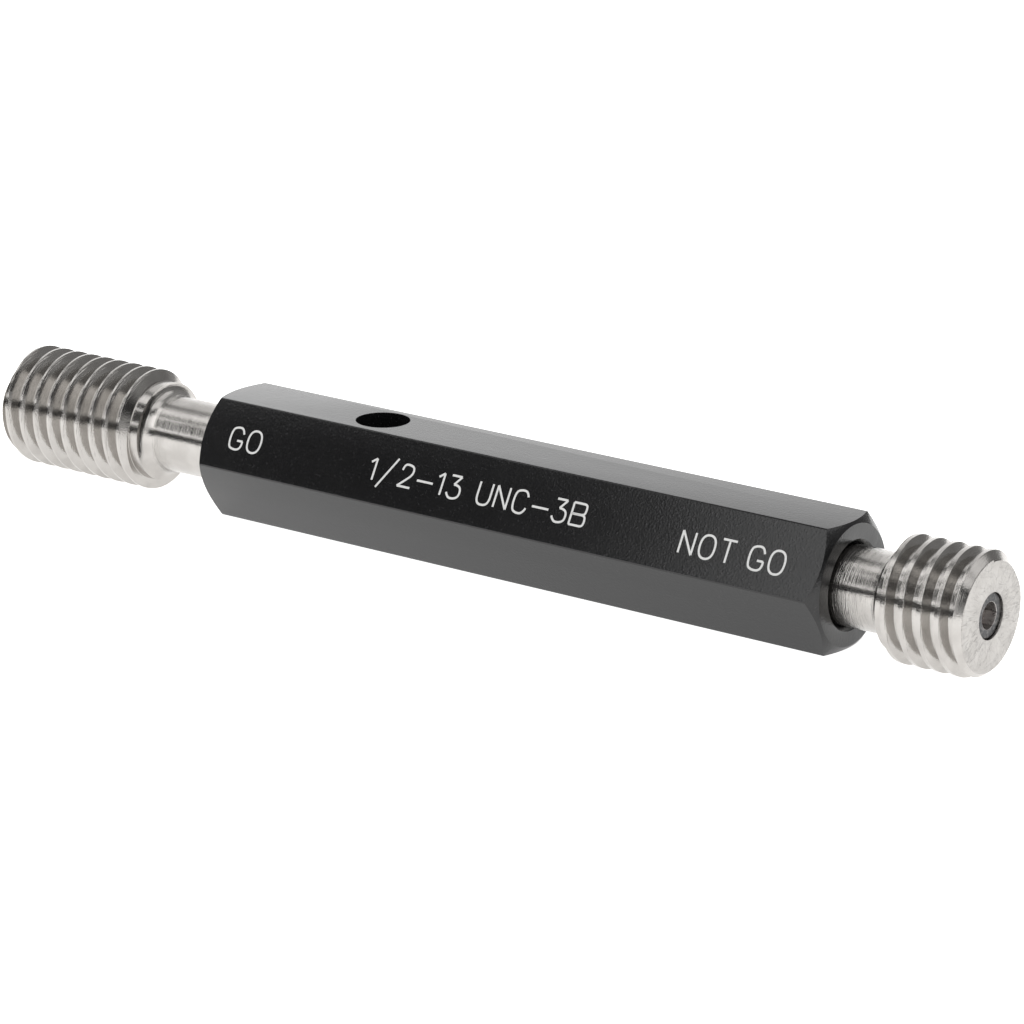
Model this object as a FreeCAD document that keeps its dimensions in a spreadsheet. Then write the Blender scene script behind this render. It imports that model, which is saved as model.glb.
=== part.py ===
"""Double-ended thread plug gauge for a 1/2-13 UNC internal thread.

Three ground or turned pieces and one screw lie on one axis, parallel to X:
  handle         hexagon bar lying on one flat, with a socket in each end and a drift hole
  go_member      full-form thread, neck and taper shank, seated in the socket at the -X end
  not_go_member  shorter thread with truncated crests, neck and straight shank, at the +X end
  lock_screw     socket head screw through the NOT GO member into the handle

The origin is at the middle of the gauge's length, under its axis, on the surface it lies on.
+X runs towards the NOT GO member and +Z is up. Lengths are in millimetres, angles in degrees.
"""

import math
import operator
import os

import FreeCAD
import Part
import Sketcher

# Driving sizes, one spreadsheet cell each.
SIZES = {
    # hexagon bar
    "handle_length": 75.7,
    "across_flats": 12.7,
    "corner_break": 0.047,
    "end_face_inset": 0.3,
    "end_chamfer_angle": 35,
    "drift_hole_diameter": 5.6,
    "drift_hole_from_end": 19.26,
    # seats of the two members: a taper with a tail for GO, a straight bore for NOT GO
    "taper_big_diameter": 7.6,
    "taper_per_length": 0.0208,
    "taper_length": 13.5,
    "tail_diameter": 3.8,
    "tail_clearance": 0.1,
    "tail_reach_into_drift_hole": 0.05,
    "straight_bore_diameter": 7.4,
    "straight_length": 14.0,
    "seat_clearance": 0.02,
    "neck_entry": 0.3,
    "mouth_gap": 0.22,
    "socket_spare_depth": 1.5,
    "drill_point_angle": 118,
    # thread form
    "threads_per_inch": 13,
    "flank_angle": 60,
    "minor_diameter": 10.58,
    "relief_below_root": 0.02,
    "neck_shoulder_length": 1.3,
    # GO member
    "go_head_length": 18.8,
    "go_major_diameter": 12.7,
    "go_pitch_diameter": 11.43,
    "go_groove_from_face": -0.05,
    "go_face_diameter": 11.0,
    "go_relief_width": 1.15,
    "go_neck_length": 9.4,
    "go_neck_diameter": 8.0,
    "centre_hole_diameter": 3.2,
    "centre_hole_angle": 60,
    # NOT GO member
    "notgo_head_length": 9.525,
    "notgo_major_diameter": 12.398,
    "notgo_pitch_diameter": 11.552,
    "notgo_groove_from_face": -0.1,
    "notgo_face_diameter": 11.0,
    "notgo_relief_width": 0.6,
    "notgo_neck_length": 5.6,
    "notgo_neck_diameter": 8.0,
    # socket head screw that draws the NOT GO shank into its taper
    "screw_head_diameter": 4.5,
    "screw_head_length": 2.84,
    "screw_thread_diameter": 2.84,
    "screw_length": 34.93,
    "screw_recess": 0.25,
    "screw_head_clearance": 0.03,
    "screw_body_clearance": 0.1,
    "tapped_hole_clearance": 0.02,
    "tapped_hole_spare_depth": 1.5,
    "key_width": 2.38,
    "key_depth": 1.5,
}

MM_PER_INCH = 25.4
OVERCUT = 0.1  # how far a cut runs past the surface it opens

doc = FreeCAD.newDocument("ThreadPlugGauge")
sheet = doc.addObject("Spreadsheet::Sheet", "sizes")
for row, (alias, number) in enumerate(SIZES.items(), start=1):
    sheet.set(f"A{row}", alias)
    sheet.set(f"B{row}", str(number))
    sheet.setAlias(f"B{row}", alias)
doc.recompute()


class Size:
    """A number and the sheet expression that gives it, carried together through arithmetic."""

    def __init__(self, number, text):
        self.number = number
        self.text = text

    def _with(self, other, sign, act, swapped=False):
        left, right = as_size(self), as_size(other)
        if swapped:
            left, right = right, left
        return Size(act(left.number, right.number), f"({left.text} {sign} {right.text})")

    def __add__(self, other):
        return self._with(other, "+", operator.add)

    def __sub__(self, other):
        return self._with(other, "-", operator.sub)

    def __mul__(self, other):
        return self._with(other, "*", operator.mul)

    def __truediv__(self, other):
        return self._with(other, "/", operator.truediv)

    def __rtruediv__(self, other):
        return self._with(other, "/", operator.truediv, swapped=True)

    def __neg__(self):
        return self * -1

    __radd__ = __add__
    __rmul__ = __mul__


def as_size(value):
    return value if isinstance(value, Size) else Size(value, f"({value!r})")


def cell(alias):
    return Size(SIZES[alias], f"sizes.{alias}")


def tangent(angle):
    return Size(math.tan(math.radians(angle.number)), f"tan({angle.text})")


# Sizes that several pieces share.
pitch = MM_PER_INCH / cell("threads_per_inch")
flank_slope = tangent(cell("flank_angle") / 2)
point_slope = tangent(cell("drill_point_angle") / 2)
root_radius = cell("minor_diameter") / 2
apothem = cell("across_flats") / 2
corner_radius = apothem * (2 / math.sqrt(3)) - cell("corner_break")
drift_hole_radius = cell("drift_hole_diameter") / 2
tail_radius = cell("tail_diameter") / 2
tail_end = cell("drift_hole_from_end") - drift_hole_radius + cell("tail_reach_into_drift_hole")
straight_radius = cell("straight_bore_diameter") / 2
half_handle = cell("handle_length") / 2
screw_seat = cell("screw_recess") + cell("screw_head_length")
screw_end = screw_seat + cell("screw_length")
screw_radius = cell("screw_thread_diameter") / 2
tapped_hole_radius = screw_radius + cell("tapped_hole_clearance")
go_reach = cell("go_head_length") + cell("go_neck_length")
notgo_reach = cell("notgo_head_length") + cell("notgo_neck_length")
overall_length = go_reach + cell("handle_length") + notgo_reach
handle_middle = (go_reach - notgo_reach) / 2


def taper_radius(depth):
    """Radius of the taper socket at this depth from the handle's end face."""
    return (cell("taper_big_diameter") - depth * cell("taper_per_length")) / 2


def new_body(label, x, half_turn=False):
    """A body on the gauge's axis at x, turned to face -X when half_turn is set."""
    body = doc.addObject("PartDesign::Body", label)
    body.Label = label
    if half_turn:
        body.Placement.Rotation = FreeCAD.Rotation(FreeCAD.Vector(0, 0, 1), 180)
    body.setExpression("Placement.Base.x", x.text)
    body.setExpression("Placement.Base.z", apothem.text)
    return body


def new_sketch(body, name, plane):
    sketch = body.newObject("Sketcher::SketchObject", name)
    origin_plane = next(item for item in body.Origin.OriginFeatures if item.Role == plane)
    sketch.AttachmentSupport = (origin_plane, "")
    sketch.MapMode = "FlatFace"
    return sketch


def pin(sketch, geometry, point, x, y):
    """Hold one point of the sketch at x, y from its origin."""
    for kind, axis, value in (("DistanceX", -2, x), ("DistanceY", -1, y)):
        value = as_size(value)
        if value.number == 0:
            sketch.addConstraint(Sketcher.Constraint("PointOnObject", geometry, point, axis))
        else:
            index = sketch.addConstraint(Sketcher.Constraint(kind, -1, 1, geometry, point, value.number))
            sketch.setExpression(f"Constraints[{index}]", value.text)


def vector(x, y):
    return FreeCAD.Vector(as_size(x).number, as_size(y).number, 0)


def outline(body, name, plane, corners):
    """A closed outline. A corner (x, y, centre) starts an arc, anticlockwise to the next corner."""
    sketch = new_sketch(body, name, plane)
    for index, corner in enumerate(corners):
        following = corners[(index + 1) % len(corners)]
        start, end = vector(*corner[:2]), vector(*following[:2])
        if len(corner) == 2:
            sketch.addGeometry(Part.LineSegment(start, end))
        else:
            centre = vector(*corner[2])
            angles = [math.atan2(point.y - centre.y, point.x - centre.x) for point in (start, end)]
            circle = Part.Circle(centre, FreeCAD.Vector(0, 0, 1), (start - centre).Length)
            sketch.addGeometry(Part.ArcOfCircle(circle, *angles))
    for index, corner in enumerate(corners):
        previous = (index - 1) % len(corners)
        sketch.addConstraint(Sketcher.Constraint("Coincident", previous, 2, index, 1))
        pin(sketch, index, 1, *corner[:2])
        if len(corner) == 3:
            centre_x = as_size(corner[2][0])
            distance = Sketcher.Constraint("DistanceX", -1, 1, index, 3, centre_x.number)
            number = sketch.addConstraint(distance)
            sketch.setExpression(f"Constraints[{number}]", centre_x.text)
    return sketch


def hexagon_corners(half_width):
    """Corners of a hexagon with two of its flats parallel to the sketch's X."""
    corner_radius = half_width * (2 / math.sqrt(3))
    return [
        (corner_radius, 0),
        (corner_radius / 2, half_width),
        (-corner_radius / 2, half_width),
        (-corner_radius, 0),
        (-corner_radius / 2, -half_width),
        (corner_radius / 2, -half_width),
    ]


def add_turned(body, kind, sketch):
    """A Revolution or Groove of the sketch about the body's X axis."""
    feature = body.newObject(f"PartDesign::{kind}", f"{sketch.Name}_turned")
    feature.Profile = sketch
    feature.ReferenceAxis = (sketch, ["H_Axis"])
    feature.Angle = 360
    return feature


def add_cut(body, feature_of):
    """Make a cutting feature and check that it took material away."""
    doc.recompute()
    before = body.Shape.Volume
    feature = feature_of()
    doc.recompute()
    if not body.Shape.Volume < before:
        raise RuntimeError(f"{feature.Name} cuts nothing")
    return feature


def make_handle():
    body = new_body("handle", handle_middle)
    bar = body.newObject("PartDesign::Pad", "bar")
    bar.Profile = outline(body, "bar_section", "YZ_Plane", hexagon_corners(apothem))
    bar.SideType = "Symmetric"
    bar.setExpression("Length", cell("handle_length").text)

    face_radius = apothem - cell("end_face_inset")
    chamfer_end = half_handle - (corner_radius - face_radius) * tangent(cell("end_chamfer_angle"))
    outer_radius = apothem * (2 / math.sqrt(3)) + OVERCUT
    turned = outline(
        body,
        "turned_ends",
        "XZ_Plane",
        [
            (half_handle, face_radius),
            (half_handle, outer_radius),
            (-half_handle, outer_radius),
            (-half_handle, face_radius),
            (-chamfer_end, corner_radius),
            (chamfer_end, corner_radius),
        ],
    )
    add_cut(body, lambda: add_turned(body, "Groove", turned))

    sockets = [
        ("go", -1, socket_corners("go", cell("taper_length"), go_tail())),
        ("notgo", 1, socket_corners("notgo", cell("straight_length"), notgo_tail())),
    ]
    for kind, side, corners in sockets:
        corners = [(side * (half_handle - depth), radius) for depth, radius in corners]
        sketch = outline(body, f"{kind}_socket", "XZ_Plane", corners)
        add_cut(body, lambda: add_turned(body, "Groove", sketch))

    add_drift_hole(body)
    return body


def socket_radius(kind, depth):
    return taper_radius(depth) if kind == "go" else straight_radius


def socket_corners(kind, shank_length, tail):
    """Outline (depth, radius) of one socket, with depths from the handle's end face inwards."""
    bottom = shank_length + cell("socket_spare_depth")
    mouth_radius = cell(f"{kind}_neck_diameter") / 2 + cell("neck_entry") + cell("mouth_gap")
    countersink = mouth_radius - socket_radius(kind, 0)
    return [
        (0, 0),
        (0, mouth_radius),
        (countersink, socket_radius(kind, countersink)),
        (bottom, socket_radius(kind, bottom)),
        (bottom, tail[0][1]),
        *tail,
    ]


def go_tail():
    """Passage from the taper socket into the drift hole."""
    radius = tail_radius + cell("tail_clearance")
    return [(cell("drift_hole_from_end"), radius), (cell("drift_hole_from_end"), 0)]


def notgo_tail():
    """Tapped hole beyond the straight bore, with its drill point."""
    end = screw_end - notgo_reach + cell("tapped_hole_spare_depth")
    return [(end, tapped_hole_radius), (end + tapped_hole_radius / point_slope, 0)]


def add_drift_hole(body):
    """Cross hole through both horizontal flats."""
    x = cell("drift_hole_from_end") - half_handle
    sketch = new_sketch(body, "drift_hole_section", "XY_Plane")
    circle = Part.Circle(vector(x, 0), FreeCAD.Vector(0, 0, 1), drift_hole_radius.number)
    sketch.addGeometry(circle)
    pin(sketch, 0, 3, x, 0)
    radius = sketch.addConstraint(Sketcher.Constraint("Radius", 0, drift_hole_radius.number))
    sketch.setExpression(f"Constraints[{radius}]", drift_hole_radius.text)

    def pocket():
        feature = body.newObject("PartDesign::Pocket", "drift_hole")
        feature.Profile = sketch
        feature.SideType = "Symmetric"
        feature.setExpression("Length", (cell("across_flats") + OVERCUT).text)
        return feature

    add_cut(body, pocket)


def make_member(label, kind, x, half_turn, front, shank):
    """A gauge member: head with its thread, neck and shank.

    Local x runs from the outer face towards the handle. front has the corners of the outline
    inside the face, and shank gives those past the neck from the place of the handle's face.
    """
    head = cell(f"{kind}_head_length")
    handle_face = head + cell(f"{kind}_neck_length")
    face_radius = cell(f"{kind}_face_diameter") / 2
    major_radius = cell(f"{kind}_major_diameter") / 2
    relief_radius = root_radius - cell("relief_below_root")
    relief_start = head - cell(f"{kind}_relief_width")
    neck_radius = cell(f"{kind}_neck_diameter") / 2

    body = new_body(label, x, half_turn)
    blank = outline(
        body,
        f"{kind}_blank",
        "XZ_Plane",
        [
            *front,
            (0, face_radius),
            (major_radius - face_radius, major_radius),
            (relief_start, major_radius),
            (relief_start, relief_radius),
            (head, relief_radius),
            (head + cell("neck_shoulder_length"), neck_radius),
            (handle_face + cell("neck_entry"), neck_radius),
            *shank(handle_face),
        ],
    )
    add_turned(body, "Revolution", blank)
    add_thread(body, kind, major_radius, head)
    return body


def add_thread(body, kind, major_radius, head):
    """Cut one right-hand groove down to the minor diameter, past the face and past the relief."""
    pitch_radius = cell(f"{kind}_pitch_diameter") / 2
    root_half = pitch / 4 - (pitch_radius - root_radius) * flank_slope
    top_radius = major_radius + OVERCUT
    top_half = pitch / 4 + (top_radius - pitch_radius) * flank_slope
    start = cell(f"{kind}_groove_from_face") - pitch
    section = outline(
        body,
        f"{kind}_groove",
        "XZ_Plane",
        [
            (start - root_half, root_radius),
            (start + root_half, root_radius),
            (start + top_half, top_radius),
            (start - top_half, top_radius),
        ],
    )

    def helix():
        feature = body.newObject("PartDesign::SubtractiveHelix", f"{kind}_thread")
        feature.Profile = section
        feature.ReferenceAxis = (section, ["H_Axis"])
        feature.Mode = "pitch-height-angle"
        feature.setExpression("Pitch", pitch.text)
        feature.setExpression("Height", (head - start + pitch).text)
        return feature

    add_cut(body, helix)


def make_go_member():
    radius = cell("centre_hole_diameter") / 2
    depth = radius / tangent(cell("centre_hole_angle") / 2)
    entry, end, fit = cell("neck_entry"), cell("taper_length"), cell("seat_clearance")
    return make_member(
        "go_member",
        "go",
        -overall_length / 2,
        half_turn=False,
        front=[(depth, 0), (0, radius)],
        shank=lambda handle_face: [
            (handle_face + entry, taper_radius(entry) - fit),
            (handle_face + end, taper_radius(end) - fit),
            (handle_face + end, tail_radius),
            (handle_face + tail_end, tail_radius),
            (handle_face + tail_end, 0),
        ],
    )


def make_not_go_member():
    head_hole = cell("screw_head_diameter") / 2 + cell("screw_head_clearance")
    body_hole = screw_radius + cell("screw_body_clearance")
    shank_radius = straight_radius - cell("seat_clearance")
    return make_member(
        "not_go_member",
        "notgo",
        overall_length / 2,
        half_turn=True,
        front=[(0, head_hole)],
        shank=lambda handle_face: [
            (handle_face + cell("neck_entry"), shank_radius),
            (handle_face + cell("straight_length"), shank_radius),
            (handle_face + cell("straight_length"), body_hole),
            (screw_seat, body_hole),
            (screw_seat, head_hole),
        ],
    )


def make_lock_screw():
    """Screw with its local x from the outer end of its head, inwards."""
    head_radius = cell("screw_head_diameter") / 2
    head_length = cell("screw_head_length")
    key_half = cell("key_width") / 2
    key_depth = cell("key_depth")
    total = head_length + cell("screw_length")
    body = new_body("lock_screw", overall_length / 2 - cell("screw_recess"), half_turn=True)
    blank = outline(
        body,
        "screw_blank",
        "XZ_Plane",
        [
            (key_depth + key_half / point_slope, 0),
            (key_depth, key_half),
            (0, key_half),
            (0, head_radius),
            (head_length, head_radius),
            (head_length, screw_radius),
            (total, screw_radius),
            (total, 0),
        ],
    )
    add_turned(body, "Revolution", blank)
    section = outline(body, "key_section", "YZ_Plane", hexagon_corners(key_half))

    def key_socket():
        feature = body.newObject("PartDesign::Pocket", "key_socket")
        feature.Profile = section
        feature.Reversed = True
        feature.setExpression("Length", key_depth.text)
        return feature

    add_cut(body, key_socket)
    return body


def check(bodies):
    """Stop if any feature failed, or a body is null, invalid or not one solid."""
    for item in doc.Objects:
        if "Invalid" in item.State or "Error" in item.State:
            raise RuntimeError(f"{item.Name} failed: {item.State}")
    for body in bodies:
        shape = body.Shape
        if shape.isNull() or not shape.isValid() or len(shape.Solids) != 1:
            raise RuntimeError(f"{body.Label} is not one valid solid")
        print(f"{body.Label}: {shape.Volume:.1f} mm3")


def main():
    bodies = [make_handle(), make_go_member(), make_not_go_member(), make_lock_screw()]
    doc.recompute()
    check(bodies)
    os.makedirs("parts", exist_ok=True)
    for body in bodies:
        body.Shape.exportStep(f"parts/{body.Label}.step")


main()
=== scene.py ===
# A double-ended thread plug gauge, dressed over its CAD frame.
# Lengths in the dictionaries are millimetres and angles are degrees. Objects are in metres.
import math

import bmesh
import bpy
from mathutils import Matrix, Vector


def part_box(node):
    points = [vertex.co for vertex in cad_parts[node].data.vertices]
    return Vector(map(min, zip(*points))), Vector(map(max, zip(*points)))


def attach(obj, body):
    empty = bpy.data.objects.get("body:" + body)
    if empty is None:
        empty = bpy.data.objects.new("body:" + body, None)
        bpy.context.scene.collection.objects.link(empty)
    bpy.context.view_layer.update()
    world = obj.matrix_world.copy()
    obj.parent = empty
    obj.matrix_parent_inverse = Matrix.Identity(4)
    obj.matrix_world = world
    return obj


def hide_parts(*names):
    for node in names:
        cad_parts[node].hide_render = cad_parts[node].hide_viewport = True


mm = 0.001
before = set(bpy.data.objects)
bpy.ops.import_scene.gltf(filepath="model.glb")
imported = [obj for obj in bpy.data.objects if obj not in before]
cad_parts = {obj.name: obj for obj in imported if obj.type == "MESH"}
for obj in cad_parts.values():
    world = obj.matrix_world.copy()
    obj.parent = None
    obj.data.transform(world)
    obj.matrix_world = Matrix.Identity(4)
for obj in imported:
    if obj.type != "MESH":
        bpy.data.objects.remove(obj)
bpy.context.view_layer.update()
scene = bpy.context.scene
handleLow, handleHigh = (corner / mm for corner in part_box("handle"))
goLow, goHigh = (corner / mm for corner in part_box("go_member"))
notGoLow, notGoHigh = (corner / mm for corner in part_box("not_go_member"))
screwLow, screwHigh = (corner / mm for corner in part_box("lock_screw"))
axisHeight = (handleLow.z + handleHigh.z) / 2
handleLength = handleHigh.x - handleLow.x


# Shader maths as expressions.
class Wire:
    def __init__(self, nodes, socket):
        self.nodes = nodes
        self.socket = socket

    def combine(self, operation, first, second):
        return self.nodes.add("ShaderNodeMath", {"operation": operation}, {0: first, 1: second})

    def __add__(self, other):
        return self.combine("ADD", self, other)

    def __sub__(self, other):
        return self.combine("SUBTRACT", self, other)

    def __rsub__(self, other):
        return self.combine("SUBTRACT", other, self)

    def __mul__(self, other):
        return self.combine("MULTIPLY", self, other)

    def __pow__(self, other):
        return self.combine("POWER", self, other)

    __radd__ = __add__
    __rmul__ = __mul__


class Nodes:
    def __init__(self, tree):
        self.tree = tree
        tree.nodes.clear()

    def add(self, kind, settings=None, inputs=None, output=0):
        node = self.tree.nodes.new(kind)
        for name, value in (settings or {}).items():
            setattr(node, name, value)
        for name, value in (inputs or {}).items():
            if isinstance(value, Wire):
                self.tree.links.new(value.socket, node.inputs[name])
            else:
                node.inputs[name].default_value = value
        return Wire(self, node.outputs[output]) if node.outputs else node

    def split(self, vector):
        parts = self.add("ShaderNodeSeparateXYZ", inputs={0: vector})
        return [Wire(self, output) for output in parts.socket.node.outputs]

    def join(self, x, y, z):
        return self.add("ShaderNodeCombineXYZ", inputs={0: x, 1: y, 2: z})

    def ramp(self, value, low, high):  # 0 at low, 1 at high, smooth between
        settings = {"interpolation_type": "SMOOTHSTEP"}
        inputs = {"Value": value, "From Min": low, "From Max": high}
        return self.add("ShaderNodeMapRange", settings, inputs)

    def noise(self, vector, scale, detail=2.0):
        inputs = {"Vector": vector, "Scale": scale, "Detail": detail}
        return self.add("ShaderNodeTexNoise", inputs=inputs)

    def blend(self, factor, first, second):  # sockets 6 and 7 are the colours, 2 is the mix
        settings = {"data_type": "RGBA"}
        return self.add("ShaderNodeMix", settings, {0: factor, 6: first, 7: second}, output=2)

    def absolute(self, value):
        return self.add("ShaderNodeMath", {"operation": "ABSOLUTE"}, {0: value})

    def place(self):  # where the surface is from the middle of the axis, in millimetres
        spot = self.add("ShaderNodeTexCoord", output=3)  # Object
        inputs = {0: spot, "Scale": 1 / mm}
        scaled = self.add("ShaderNodeVectorMath", {"operation": "SCALE"}, inputs)
        middle = (0, 0, axisHeight)
        return self.add("ShaderNodeVectorMath", {"operation": "SUBTRACT"}, {0: scaled, 1: middle})


def newMaterial(name, build):
    material = bpy.data.materials.new(name)
    material.use_nodes = True
    nodes = Nodes(material.node_tree)
    surface = build(nodes)
    nodes.add("ShaderNodeOutputMaterial", inputs={"Surface": surface})
    return material


steel = {
    "colour": (0.445, 0.43, 0.412, 1),
    "dullColour": (0.385, 0.37, 0.353, 1),
    "blotches": 0.45,  # dull places per millimetre
    "faceColour": (0.33, 0.317, 0.303, 1),
    "faceBlend": 0.3,  # share of the face colour on the outer faces
    "scratchBlend": 0.4,  # and what their scratches add to it
    "roughness": 0.17,
    "roughnessSpread": 0.08,
    "faceRoughness": 0.12,  # added on the outer faces
    "grindingLines": 12.0,  # per millimetre along the axis
    "grindingRound": 0.35,  # per millimetre round it
    "grindingDepth": 0.03,
    "flankLines": 0.15,  # depth of the lines on the thread flanks, as a share of that elsewhere
    "flankFoot": (5.0, 5.2),  # radii between which the flanks begin
    "flankTop": (6.05, 6.15),  # radii between which they end
    "grain": 5.0,  # per millimetre
    "grainDepth": 0.008,
    "faceStart": 0.06,  # the face finish begins this far behind the outer faces
    "faceFull": 0.01,
    "scratchAngles": (12, 47, 88, 124, 161),
    "scratchWidth": 5.0,  # straight scratches per millimetre across
    "scratchLength": 0.08,
    "scratchShare": 0.5,
    "radialScratches": 14.0,  # per radian
    "radialLength": 0.5,
    "radialScale": 2.2,
    "scratchDepth": 0.02,
}


def groundSteel(nodes):
    place = nodes.place()
    x, y, z = nodes.split(place)
    radius = (y * y + z * z) ** 0.5
    around = steel["grindingRound"]
    stretched = nodes.join(x * steel["grindingLines"], y * around, z * around)
    lines = nodes.noise(stretched, 1.0, 3.0) - 0.5
    onFlank = nodes.ramp(radius, *steel["flankFoot"]) * (1 - nodes.ramp(radius, *steel["flankTop"]))
    lines = lines * (1 - onFlank * (1 - steel["flankLines"]))
    grain = nodes.noise(place, steel["grain"])
    faceX = notGoHigh.x  # both outer faces are this far from the middle
    onFace = nodes.ramp(nodes.absolute(x), faceX - steel["faceStart"], faceX - steel["faceFull"])
    turn = nodes.add("ShaderNodeMath", {"operation": "ARCTAN2"}, {0: y, 1: z})
    spokes = nodes.join(turn * steel["radialScratches"], radius * steel["radialLength"], x)
    scratches = nodes.ramp(nodes.noise(spokes, steel["radialScale"], 3.0), 0.5, 0.7)
    for angle in steel["scratchAngles"]:
        cosine, sine = math.cos(math.radians(angle)), math.sin(math.radians(angle))
        along = (y * cosine + z * sine) * steel["scratchLength"]
        strand = nodes.noise(nodes.join(y * sine - z * cosine, along, x), steel["scratchWidth"])
        scratches = nodes.ramp(strand, 0.6, 0.66) * steel["scratchShare"] + scratches
    blotches = nodes.noise(place, steel["blotches"], 3.0)
    colour = nodes.blend(nodes.ramp(blotches, 0.35, 0.7), steel["colour"], steel["dullColour"])
    height = lines * (1 - onFace) * steel["grindingDepth"] + grain * steel["grainDepth"]
    height = height - scratches * onFace * steel["scratchDepth"]
    bump = nodes.add("ShaderNodeBump", inputs={"Strength": 1.0, "Distance": mm, "Height": height})
    faceShare = onFace * (steel["faceBlend"] + scratches * steel["scratchBlend"])
    roughness = steel["roughness"] + (blotches - 0.5) * steel["roughnessSpread"]
    return nodes.add("ShaderNodeBsdfPrincipled", inputs={
        "Base Color": nodes.blend(faceShare, colour, steel["faceColour"]),
        "Metallic": 1.0,
        "Roughness": roughness + onFace * steel["faceRoughness"],
        "Normal": bump,
    })


anodising = {
    "colour": (0.006, 0.006, 0.0065, 1),
    "wornColour": (0.03, 0.03, 0.031, 1),
    "roughness": 0.2,
    "grain": 4.5,  # blasted pits per millimetre
    "grainDepth": 0.016,
    "clouds": 0.3,  # per millimetre, in the roughness
    "cloudSpread": 0.06,
    "ior": 1.5,
}


def blackAnodised(nodes):
    place = nodes.place()
    grain = nodes.noise(place, anodising["grain"])
    cloud = nodes.noise(place, anodising["clouds"], 3.0)
    bump = nodes.add("ShaderNodeBump", inputs={
        "Strength": 1.0, "Distance": anodising["grainDepth"] * mm, "Height": grain,
    })
    worn = nodes.ramp(grain, 0.6, 0.78)
    colour = nodes.blend(worn, anodising["colour"], anodising["wornColour"])
    return nodes.add("ShaderNodeBsdfPrincipled", inputs={
        "Base Color": colour,
        "Metallic": 0.0,
        "IOR": anodising["ior"],
        "Roughness": anodising["roughness"] + (cloud - 0.5) * anodising["cloudSpread"],
        "Normal": bump,
    })


paint = {
    "colour": (0.8, 0.8, 0.79, 1),
    "dullColour": (0.6, 0.6, 0.6, 1),
    "roughness": 0.5,
    "speckle": 14.0,  # per millimetre
    "speckleDepth": 0.01,
}


def whitePaint(nodes):
    speckle = nodes.noise(nodes.place(), paint["speckle"])
    bump = nodes.add("ShaderNodeBump", inputs={
        "Strength": 0.6, "Distance": paint["speckleDepth"] * mm, "Height": speckle,
    })
    dull = nodes.ramp(speckle, 0.5, 0.8)
    return nodes.add("ShaderNodeBsdfPrincipled", inputs={
        "Base Color": nodes.blend(dull, paint["colour"], paint["dullColour"]),
        "Roughness": paint["roughness"],
        "Normal": bump,
    })


oxide = {
    "colour": (0.035, 0.035, 0.037, 1),
    "wornColour": (0.16, 0.155, 0.15, 1),
    # the lighter colour inside the key socket is a painted highlight, standing in for the
    # reflections seen in the socket
    "keyHighlightColour": (0.42, 0.4, 0.39, 1),
    "keyRadius": 1.4,
    "keyEdge": 0.06,
    "roughness": 0.3,
    "roughnessSpread": 0.2,
    "wear": 2.6,  # per millimetre
    "grain": 24.0,
    "grainDepth": 0.006,
}


def blackOxide(nodes):
    place = nodes.place()
    x, y, z = nodes.split(place)
    radius = (y * y + z * z) ** 0.5
    # painted highlight: the key socket's colour is lifted to stand in for reflections inside it
    inKeyHighlight = 1 - nodes.ramp(radius, oxide["keyRadius"] - oxide["keyEdge"], oxide["keyRadius"])
    wear = nodes.noise(place, oxide["wear"], 4.0)
    grain = nodes.noise(place, oxide["grain"])
    bump = nodes.add("ShaderNodeBump", inputs={
        "Strength": 0.5, "Distance": oxide["grainDepth"] * mm, "Height": grain,
    })
    colour = nodes.blend(nodes.ramp(wear, 0.45, 0.75), oxide["colour"], oxide["wornColour"])
    return nodes.add("ShaderNodeBsdfPrincipled", inputs={
        "Base Color": nodes.blend(inKeyHighlight, colour, oxide["keyHighlightColour"]),
        "Metallic": 0.9,
        "Roughness": oxide["roughness"] + (wear - 0.5) * oxide["roughnessSpread"],
        "Normal": bump,
    })


materials = {
    "ground_steel": newMaterial("groundSteel", groundSteel),
    "black_anodised": newMaterial("blackAnodised", blackAnodised),
    "black_oxide": newMaterial("blackOxide", blackOxide),
    "white_paint": newMaterial("whitePaint", whitePaint),
}
print("materials ready")


# Mesh helpers. Shapes are made in millimetres about the X axis, then put in place in metres.
def outlineEdges(bm, corners):  # corners are (x, radius) or (x, radius, rounding)
    verts = [bm.verts.new((corner[0], 0, corner[1])) for corner in corners]
    for first, second in zip(verts, verts[1:]):
        bm.edges.new((first, second))
    for vert, corner in zip(verts, corners):
        if len(corner) == 3:
            bmesh.ops.bevel(
                bm, geom=[vert], offset=corner[2], offset_type="OFFSET", affect="VERTICES",
                segments=8, profile=0.5, material=-1,
            )


def turned(corners, steps):
    bm = bmesh.new()
    outlineEdges(bm, corners)
    geometry = bm.verts[:] + bm.edges[:]
    bmesh.ops.spin(
        bm, geom=geometry, cent=(0, 0, 0), axis=(1, 0, 0), dvec=(0, 0, 0), angle=math.tau,
        steps=steps, use_merge=True, use_duplicate=False,
    )
    bmesh.ops.remove_doubles(bm, verts=bm.verts[:], dist=0.0005)
    bmesh.ops.recalc_face_normals(bm, faces=bm.faces[:])
    return bm


def hexagonBar(apothem, length, start):
    bm = bmesh.new()
    bmesh.ops.create_circle(bm, cap_ends=True, radius=apothem * 2 / math.sqrt(3), segments=6)
    bmesh.ops.rotate(bm, verts=bm.verts[:], matrix=Matrix.Rotation(math.pi / 2, 3, "Y"))
    top = bmesh.ops.extrude_face_region(bm, geom=bm.faces[:])
    moved = [item for item in top["geom"] if isinstance(item, bmesh.types.BMVert)]
    bmesh.ops.translate(bm, verts=moved, vec=(length, 0, 0))
    bmesh.ops.translate(bm, verts=bm.verts[:], vec=(start, 0, 0))
    bmesh.ops.recalc_face_normals(bm, faces=bm.faces[:])
    return bm


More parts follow.
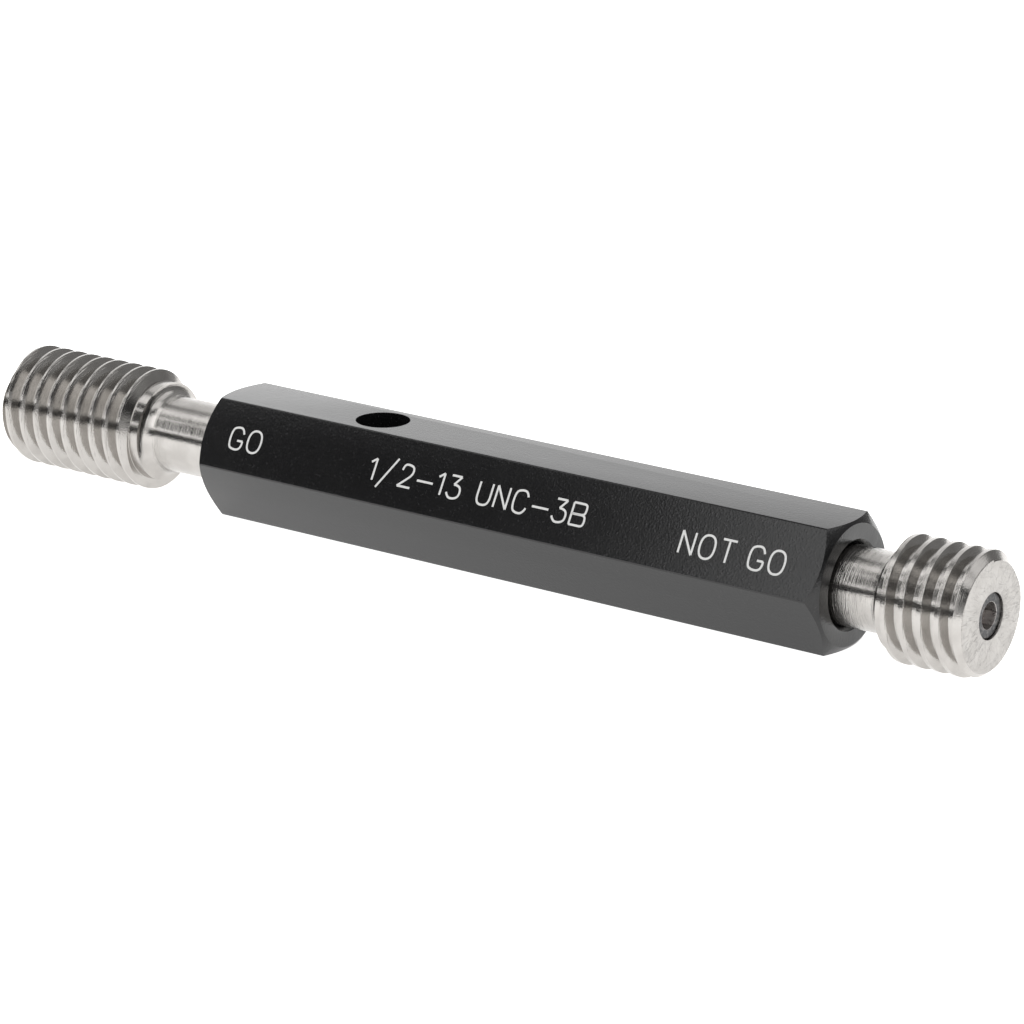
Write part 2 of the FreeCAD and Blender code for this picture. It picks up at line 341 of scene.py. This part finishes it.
def newObject(name, bm, material, place):
    mesh = bpy.data.meshes.new(name)
    bm.transform(Matrix.Scale(mm, 4) @ Matrix.Translation((0, 0, axisHeight)) @ place)
    bm.to_mesh(mesh)
    bm.free()
    mesh.materials.append(material)
    piece = bpy.data.objects.new(name, mesh)
    scene.collection.objects.link(piece)
    return piece


def applyModifiers(piece):
    depsgraph = bpy.context.evaluated_depsgraph_get()
    mesh = bpy.data.meshes.new_from_object(piece.evaluated_get(depsgraph))
    piece.modifiers.clear()
    piece.data = mesh


def carve(piece, cutter, operation="DIFFERENCE"):
    modifier = piece.modifiers.new("carve", "BOOLEAN")
    modifier.object = cutter
    modifier.operation = operation
    modifier.solver = "EXACT"
    modifier.material_mode = "TRANSFER"
    applyModifiers(piece)
    bpy.data.objects.remove(cutter)


def finishPiece(piece, slot, sharpAngle, *nodes):
    piece.data.polygons.foreach_set("use_smooth", [True] * len(piece.data.polygons))
    piece.data.set_sharp_from_angle(angle=math.radians(sharpAngle))
    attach(piece, "root")
    if nodes:
        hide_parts(*nodes)
    print(piece.name, len(piece.data.polygons), "faces")


# Threaded members. Local x runs from the outer face towards the handle.
thread = {
    "pitch": 25.4 / 13,
    "flankAngle": 60,
    "rootRadius": 5.29,
    "stepsPerTurn": 96,
    "cutAbove": 1.3,  # the groove's tool reaches this far above the root
    "sharpAngle": 24,
}
goMember = {
    "headLength": 18.8,
    "pitchRadius": 5.715,
    "grooveFromFace": -0.05,
    "leadIn": thread["pitch"],
    "faceRadius": 5.5,
    "reliefWidth": 1.15,
    "neckRadius": 4.0,
    "front": [(2.77, 0), (0, 1.6, 0.05)],
    "shank": [
        (0.52, 3.78), (13.3, 3.64), (13.5, 3.44), (13.5, 1.9),
        (16.3, 1.9), (16.51, 1.7), (16.51, 0),
    ],
}
notGoMember = {
    "headLength": 9.525,
    "pitchRadius": 5.776,
    "grooveFromFace": -0.1,
    "leadIn": 0.0,  # the groove starts at full depth, at the top of the face
    "faceRadius": 5.5,
    "reliefWidth": 0.6,
    "neckRadius": 4.0,
    "front": [(notGoHigh.x - notGoLow.x, 1.52), (3.09, 1.52), (3.09, 2.28), (0, 2.28, 0.05)],
    "shank": [(0.62, 3.68), (13.7, 3.68), (14, 3.38), (14, 1.52)],
}
shared = {
    "stepsRound": 192,
    "faceRound": 0.06,
    "reliefBelowRoot": 0.02,
    "reliefRound": 0.05,
    "fillet": 1.274,  # between neck and thread
    "filletLean": 0.02,
    "neckEntry": 0.3,
    "neckRound": 0.04,
}


def groove(member):
    flankSlope = math.tan(math.radians(thread["flankAngle"] / 2))
    topRadius = thread["rootRadius"] + thread["cutAbove"]
    rootHalf = thread["pitch"] / 4 - (member["pitchRadius"] - thread["rootRadius"]) * flankSlope
    topHalf = rootHalf + (topRadius - thread["rootRadius"]) * flankSlope
    start = member["grooveFromFace"] - member["leadIn"]
    turns = math.ceil((member["headLength"] - start) / thread["pitch"]) + 1
    bm = bmesh.new()
    corners = [
        (start - rootHalf, thread["rootRadius"]),
        (start + rootHalf, thread["rootRadius"]),
        (start + topHalf, topRadius),
        (start - topHalf, topRadius),
    ]
    section = bm.faces.new([bm.verts.new((x, 0, radius)) for x, radius in corners])
    bmesh.ops.spin(
        bm, geom=[section, *section.verts, *section.edges], cent=(0, 0, 0), axis=(1, 0, 0),
        dvec=(thread["pitch"] / thread["stepsPerTurn"], 0, 0), angle=math.tau * turns,
        steps=turns * thread["stepsPerTurn"], use_merge=False, use_duplicate=False,
    )
    bmesh.ops.recalc_face_normals(bm, faces=bm.faces[:])
    return bm


def makeMember(name, node, member, inside, majorRadius, place):
    head = member["headLength"]
    relief = thread["rootRadius"] - shared["reliefBelowRoot"]
    neck = member["neckRadius"]
    corners = [
        *member["front"],
        (0, member["faceRadius"], shared["faceRound"]),
        (majorRadius - member["faceRadius"], majorRadius),
        (head - member["reliefWidth"], majorRadius),
        (head - member["reliefWidth"], relief, shared["reliefRound"]),
        (head, relief),
        (head + shared["filletLean"], neck, shared["fillet"]),
        (inside + shared["neckEntry"], neck, shared["neckRound"]),
        *((inside + depth, radius) for depth, radius in member["shank"]),
    ]
    material = materials["ground_steel"]
    piece = newObject(name, turned(corners, shared["stepsRound"]), material, place)
    carve(piece, newObject("groove", groove(member), material, place))
    finishPiece(piece, "ground_steel", thread["sharpAngle"], node)


goInside = handleLow.x - goLow.x
notGoInside = notGoHigh.x - handleHigh.x
goPlace = Matrix.Translation((goLow.x, 0, 0))
halfTurn = Matrix.Rotation(math.pi, 4, "Z")
notGoPlace = Matrix.Translation((notGoHigh.x, 0, 0)) @ halfTurn
goMajor = (goHigh.z - goLow.z) / 2
notGoMajor = (notGoHigh.y - notGoLow.y) / 2
makeMember("goMember", "go_member", goMember, goInside, goMajor, goPlace)
makeMember("notGoMember", "not_go_member", notGoMember, notGoInside, notGoMajor, notGoPlace)

# Lock screw
screw = {
    "headRadius": 2.25,
    "headLength": 2.84,
    "edge": 0.16,
    "bodyRadius": 1.42,
    "tipChamfer": 0.36,
    "keyWidth": 2.38,
    "keyDepth": 1.5,
    "keyPoint": 0.6,  # the drilled point's depth, as a share of half the key's width
    "mouthShare": 1.12,  # the mouth's radius, as a share of the same
    "mouthRound": 0.05,
    "mouthReach": 0.001,  # the key's cutter stands this far out of the head
    "stepsRound": 96,
    "sharpAngle": 28,
}


def makeScrew():
    length = screwHigh.x - screwLow.x
    half = screw["keyWidth"] / 2
    head = turned([
        (screw["keyDepth"] + half * screw["keyPoint"], 0),
        (screw["keyDepth"], half),
        (0, half * screw["mouthShare"], screw["mouthRound"]),
        (0, screw["headRadius"], screw["edge"]),
        (screw["headLength"], screw["headRadius"]),
        (screw["headLength"], screw["bodyRadius"]),
        (length - screw["tipChamfer"], screw["bodyRadius"]),
        (length, screw["bodyRadius"] - screw["tipChamfer"]),
        (length, 0),
    ], screw["stepsRound"])
    place = Matrix.Translation((screwHigh.x, 0, 0)) @ halfTurn
    piece = newObject("lockScrew", head, materials["black_oxide"], place)
    key = hexagonBar(half, screw["keyDepth"], -screw["mouthReach"])
    carve(piece, newObject("key", key, materials["black_oxide"], place))
    finishPiece(piece, "black_oxide", screw["sharpAngle"], "lock_screw")


makeScrew()

# Marks, as strokes in units of the letter height. A round stroke bends towards its points.
letters = {
    "G": [
        ("round", [
            (0.7, 0.74), (0.62, 1.0), (0.3, 1.03), (0.0, 0.9), (0.0, 0.1), (0.26, -0.03),
            (0.6, -0.02), (0.74, 0.2), (0.72, 0.4),
        ]),
        ("straight", [(0.42, 0.4), (0.73, 0.4)]),
    ],
    "O": [("ring", [
        (0.0, 0.24), (0.0, 0.76), (0.19, 1.02), (0.56, 1.02), (0.75, 0.76), (0.75, 0.24),
        (0.56, -0.02), (0.19, -0.02),
    ])],
    "N": [("straight", [(0.0, 0.0), (0.0, 1.0)]), ("straight", [(0.0, 1.0), (0.66, 0.0)]),
          ("straight", [(0.66, 0.0), (0.66, 1.0)])],
    "T": [("straight", [(0.0, 1.0), (0.7, 1.0)]), ("straight", [(0.35, 1.0), (0.35, 0.0)])],
    "U": [("round", [
        (0.0, 1.0), (0.0, 0.6), (0.0, 0.2), (0.14, -0.02), (0.54, -0.02), (0.69, 0.2),
        (0.69, 0.6), (0.69, 1.0),
    ])],
    "C": [("round", [
        (0.71, 0.76), (0.62, 1.0), (0.3, 1.03), (0.0, 0.9), (0.0, 0.1), (0.3, -0.04),
        (0.62, 0.0), (0.72, 0.26),
    ])],
    "B": [
        ("straight", [(0.0, 0.0), (0.0, 1.0)]),
        ("round", [
            (0.0, 1.0), (0.35, 1.0), (0.68, 1.0), (0.72, 0.78), (0.68, 0.52),
            (0.35, 0.5), (0.0, 0.5),
        ]),
        ("round", [
            (0.0, 0.5), (0.38, 0.5), (0.7, 0.5), (0.76, 0.25), (0.7, 0.0),
            (0.38, 0.0), (0.0, 0.0),
        ]),
    ],
    "1": [("straight", [(0.0, 0.8), (0.27, 1.0)]), ("straight", [(0.27, 1.0), (0.27, 0.0)])],
    "2": [
        ("round", [
            (0.07, 0.74), (0.1, 1.0), (0.36, 1.04), (0.66, 0.96), (0.68, 0.64),
            (0.42, 0.36), (0.0, 0.0),
        ]),
        ("straight", [(0.0, 0.0), (0.71, 0.0)]),
    ],
    "3": [
        ("straight", [(0.08, 1.0), (0.62, 1.0)]),
        ("straight", [(0.62, 1.0), (0.3, 0.6)]),
        ("round", [
            (0.3, 0.6), (0.5, 0.6), (0.7, 0.46), (0.7, 0.1), (0.46, -0.04),
            (0.12, -0.03), (0.0, 0.2),
        ]),
    ],
    "-": [("straight", [(0.0, 0.42), (0.88, 0.42)])],
    "/": [("straight", [(0.0, -0.28), (0.83, 1.2)])],
}
mark = {
    "letterHeight": 2.25,
    "strokeWidth": 0.23,
    "thickness": 0.03,
    "facetElevation": 30,
    "bendSteps": 6,
    "edgeSteps": 3,
    "sharpAngle": 40,
}
marks = {  # each starts at a letter's left side and its foot, over the facet's centre line
    "goMark": {"foot": -1.26, "places": {-27.6: "G", -25.3: "O"}},
    "sizeMark": {"foot": -1.26, "places": {
        -9.42: "1", -8.12: "/", -5.6: "2", -3.4: "-", -0.9: "1", 0.42: "3",
        4.14: "U", 6.31: "N", 8.5: "C", 10.78: "-", 13.3: "3", 15.48: "B",
    }},
    "notGoMark": {"foot": -1.62, "places": {
        28.46: "N", 30.65: "O", 33.02: "T", 36.28: "G", 38.56: "O",
    }},
}


def addStroke(curve, kind, points):
    spline = curve.splines.new("POLY" if kind == "straight" else "NURBS")
    spline.points.add(len(points) - 1)
    for point, (x, y) in zip(spline.points, points):
        point.co = (x, y, 0, 1)
    if kind != "straight":
        spline.order_u = 3
        spline.use_endpoint_u = kind == "round"
        spline.use_cyclic_u = kind == "ring"
        spline.resolution_u = mark["bendSteps"]


def makeMarks(name, words, facet):
    curve = bpy.data.curves.new(name, "CURVE")
    curve.dimensions = "3D"
    curve.bevel_depth = mark["strokeWidth"] / 2
    curve.bevel_resolution = mark["edgeSteps"]
    curve.use_fill_caps = True
    height = mark["letterHeight"]
    for left, letter in words["places"].items():
        for kind, points in letters[letter]:
            placed = [(left + x * height, words["foot"] + y * height) for x, y in points]
            addStroke(curve, kind, placed)
    drawn = bpy.data.objects.new(name, curve)
    scene.collection.objects.link(drawn)
    bpy.context.view_layer.update()
    depsgraph = bpy.context.evaluated_depsgraph_get()
    bm = bmesh.new()
    bm.from_mesh(bpy.data.meshes.new_from_object(drawn.evaluated_get(depsgraph)))
    bpy.data.objects.remove(drawn)
    bmesh.ops.remove_doubles(bm, verts=bm.verts[:], dist=0.001)
    bmesh.ops.recalc_face_normals(bm, faces=bm.faces[:])
    flat = Matrix.Scale(mark["thickness"] / mark["strokeWidth"], 4, (0, 0, 1))
    piece = newObject(name, bm, materials["white_paint"], facet @ flat)
    finishPiece(piece, "white_paint", mark["sharpAngle"])


def markHandle(apothem):
    tilt = math.radians(mark["facetElevation"])
    middle = Vector((0, -apothem * math.cos(tilt), apothem * math.sin(tilt)))
    facet = Matrix.Translation(middle) @ Matrix.Rotation(math.pi / 2 - tilt, 4, "X")
    for name, words in marks.items():
        makeMarks(name, words, facet)


# Handle
handle = {
    "edgeRound": 0.06,
    "edgeSteps": 3,
    "edgeAngle": 25,  # edges that turn by more than this are rounded
    "sharpAngle": 12,
    "endInset": 0.3,
    "chamferAngle": 35,
    "cornerBreak": 0.047,
    "mouthRadius": 4.52,
    "driftRadius": 2.8,
    "driftFromEnd": 19.26,
    "driftSteps": 96,
    "stepsRound": 192,
}
sockets = {  # (depth, radius) from the mouth inwards
    "go": [(0.72, 3.8), (15, 3.65), (16, 2), (19, 2), (19, 0)],
    "notGo": [(0.82, 3.7), (15.5, 3.7), (16.9, 1.44), (24.5, 1.44), (24.5, 0)],
}


def makeHandle():
    apothem = axisHeight - handleLow.z
    corner = apothem * 2 / math.sqrt(3)
    half = handleLength / 2
    middle = Matrix.Translation(((handleLow.x + handleHigh.x) / 2, 0, 0))
    material = materials["black_anodised"]
    piece = newObject("handleBar", hexagonBar(apothem, handleLength, -half), material, middle)

    brokenCorner = corner - handle["cornerBreak"]
    faceRadius = apothem - handle["endInset"]
    slope = math.tan(math.radians(handle["chamferAngle"]))
    run = (brokenCorner - faceRadius) * slope
    envelope = turned([
        *((-half + depth, radius) for depth, radius in reversed(sockets["go"])),
        (-half, handle["mouthRadius"]),
        (-half, faceRadius),
        (-half + run, brokenCorner),
        (half - run, brokenCorner),
        (half, faceRadius),
        (half, handle["mouthRadius"]),
        *((half - depth, radius) for depth, radius in sockets["notGo"]),
    ], handle["stepsRound"])
    carve(piece, newObject("envelope", envelope, material, middle), "INTERSECT")

    bm = bmesh.new()
    bmesh.ops.create_cone(
        bm, cap_ends=True, segments=handle["driftSteps"], radius1=handle["driftRadius"],
        radius2=handle["driftRadius"], depth=apothem * 4,
    )
    drift = Matrix.Translation((handleLow.x + handle["driftFromEnd"], 0, 0))
    carve(piece, newObject("drift", bm, material, drift))
    modifier = piece.modifiers.new("edges", "BEVEL")
    modifier.width = handle["edgeRound"] * mm
    modifier.segments = handle["edgeSteps"]
    modifier.limit_method = "ANGLE"
    modifier.angle_limit = math.radians(handle["edgeAngle"])
    applyModifiers(piece)
    finishPiece(piece, "black_anodised", handle["sharpAngle"], "handle")
    markHandle(apothem)


makeHandle()
print("pieces ready")

# Floor, light and camera
studio = {
    "floorColour": (0.86, 0.855, 0.845, 1),
    "floorSize": 4.0,  # metres to each side
    "floorDrop": 0.02,
    "floorGlow": 1.0,
    "fill": 0.9,
    "darkLevel": 0.03,
}
# Panels that shiny surfaces mirror: a level, then bands of (direction, low, high, softness).
# Lean is the angle up over the front, where 90 is overhead and 180 is level behind. Side is along
# the handle and height is up, both as parts of a direction of length 1.
panels = {
    "front": (2.0, ("lean", 18, 57, 3), ("side", -1.2, 0.3, 0.1)),
    "frontFar": (1.4, ("lean", 18, 57, 3), ("side", 0.3, 0.86, 0.03)),
    "frontFlag": (-1.96, ("lean", 24, 53, 3), ("side", -0.86, -0.4, 0.03)),
    "frontLow": (0.9, ("lean", -8, 18, 3), ("side", 0.42, 0.88, 0.06)),
    "topLeft": (1.4, ("lean", 72, 97, 4), ("side", -1.2, -0.46, 0.03)),
    "topMiddle": (1.9, ("lean", 58, 82, 4), ("side", -0.46, 0.1, 0.03)),
    "topRight": (1.3, ("lean", 74, 100, 4), ("side", 0.1, 0.86, 0.03)),
    "backLeft": (1.15, ("lean", 106, 200, 6), ("side", -1.2, -0.36, 0.04)),
    "backLow": (0.4, ("lean", 146, 178, 6), ("side", -0.9, -0.32, 0.04)),
    "backMiddle": (0.35, ("lean", 88, 200, 4), ("side", -0.36, 0.2, 0.04)),
    "backHigh": (
        1.2, ("lean", 104, 200, 4), ("side", 0.2, 0.86, 0.06), ("height", 0.56, 1.2, 0.04),
    ),
    "backRight": (
        0.25, ("lean", 104, 200, 4), ("side", 0.2, 0.88, 0.06), ("height", -0.2, 0.56, 0.04),
    ),
    "rightLow": (0.5, ("side", 0.9, 1.2, 0.03), ("height", -0.06, 0.22, 0.03)),
}
view = {
    "azimuth": 35.862,
    "elevation": 17.367,
    "roll": 0.481,
    "distance": 433.573,
    "sensor": 36,
    "focal": 151.9374375,
    "rise": -0.00337,
    "targetFromHandleMiddle": -2.264,
}


def makeFloor():
    bm = bmesh.new()
    bmesh.ops.create_grid(bm, x_segments=8, y_segments=8, size=studio["floorSize"] / mm)
    place = Matrix.Translation((0, 0, -axisHeight - studio["floorDrop"]))
    floor = newObject("floor", bm, newMaterial("floorPaper", floorPaper), place)


def floorPaper(nodes):
    rays = nodes.add("ShaderNodeLightPath").socket.node.outputs
    seen = Wire(nodes, rays["Is Camera Ray"]) + Wire(nodes, rays["Is Glossy Ray"])
    paper = nodes.add("ShaderNodeBsdfDiffuse", inputs={"Color": studio["floorColour"]})
    glow = nodes.add("ShaderNodeEmission", inputs={
        "Color": (1, 1, 1, 1), "Strength": studio["floorGlow"],
    })
    both = nodes.add("ShaderNodeAddShader", inputs={0: paper, 1: glow})
    return nodes.add("ShaderNodeMixShader", inputs={0: seen, 1: paper, 2: both})


def makeWorld():
    world = bpy.data.worlds.new("studioWorld")
    scene.world = world
    world.use_nodes = True
    nodes = Nodes(world.node_tree)
    rays = nodes.add("ShaderNodeLightPath").socket.node.outputs
    isCamera, isGlossy = Wire(nodes, rays["Is Camera Ray"]), Wire(nodes, rays["Is Glossy Ray"])
    x, y, z = nodes.split(nodes.add("ShaderNodeTexCoord", output=0))
    lean = nodes.add("ShaderNodeMath", {"operation": "ARCTAN2"}, {0: z, 1: 0 - y}) * (180 / math.pi)
    directions = {"lean": lean, "side": x, "height": z}
    glossy = studio["darkLevel"]
    for level, *bands in panels.values():
        panel = level
        for axis, low, high, soft in bands:
            along = directions[axis]
            panel = nodes.ramp(along, low - soft, low + soft) * panel
            panel = (1 - nodes.ramp(along, high - soft, high + soft)) * panel
        glossy = panel + glossy
    level = isGlossy * glossy + (1 - isGlossy) * studio["fill"]
    strength = isCamera + (1 - isCamera) * level
    background = nodes.add("ShaderNodeBackground", inputs={
        "Color": (1, 1, 1, 1), "Strength": strength,
    })
    nodes.add("ShaderNodeOutputWorld", inputs={"Surface": background})


def makeCamera():
    azimuth, elevation = math.radians(view["azimuth"]), math.radians(view["elevation"])
    middle = (handleLow.x + handleHigh.x) / 2
    target = Vector((middle + view["targetFromHandleMiddle"], 0, axisHeight)) * mm
    back = Vector((
        math.sin(azimuth) * math.cos(elevation),
        -math.cos(azimuth) * math.cos(elevation),
        math.sin(elevation),
    ))
    data = bpy.data.cameras.new("camera")
    data.sensor_width = view["sensor"]
    data.lens = view["focal"]
    data.shift_y = view["rise"]
    data.clip_start = 0.01
    camera = bpy.data.objects.new("camera", data)
    scene.collection.objects.link(camera)
    camera.location = target + back * view["distance"] * mm
    roll = Matrix.Rotation(math.radians(view["roll"]), 3, "Z").to_quaternion()
    camera.rotation_euler = (back.to_track_quat("Z", "Y") @ roll).to_euler()
    scene.camera = camera


makeFloor()
makeWorld()
makeCamera()
scene.view_settings.view_transform = "Standard"
print("studio ready")
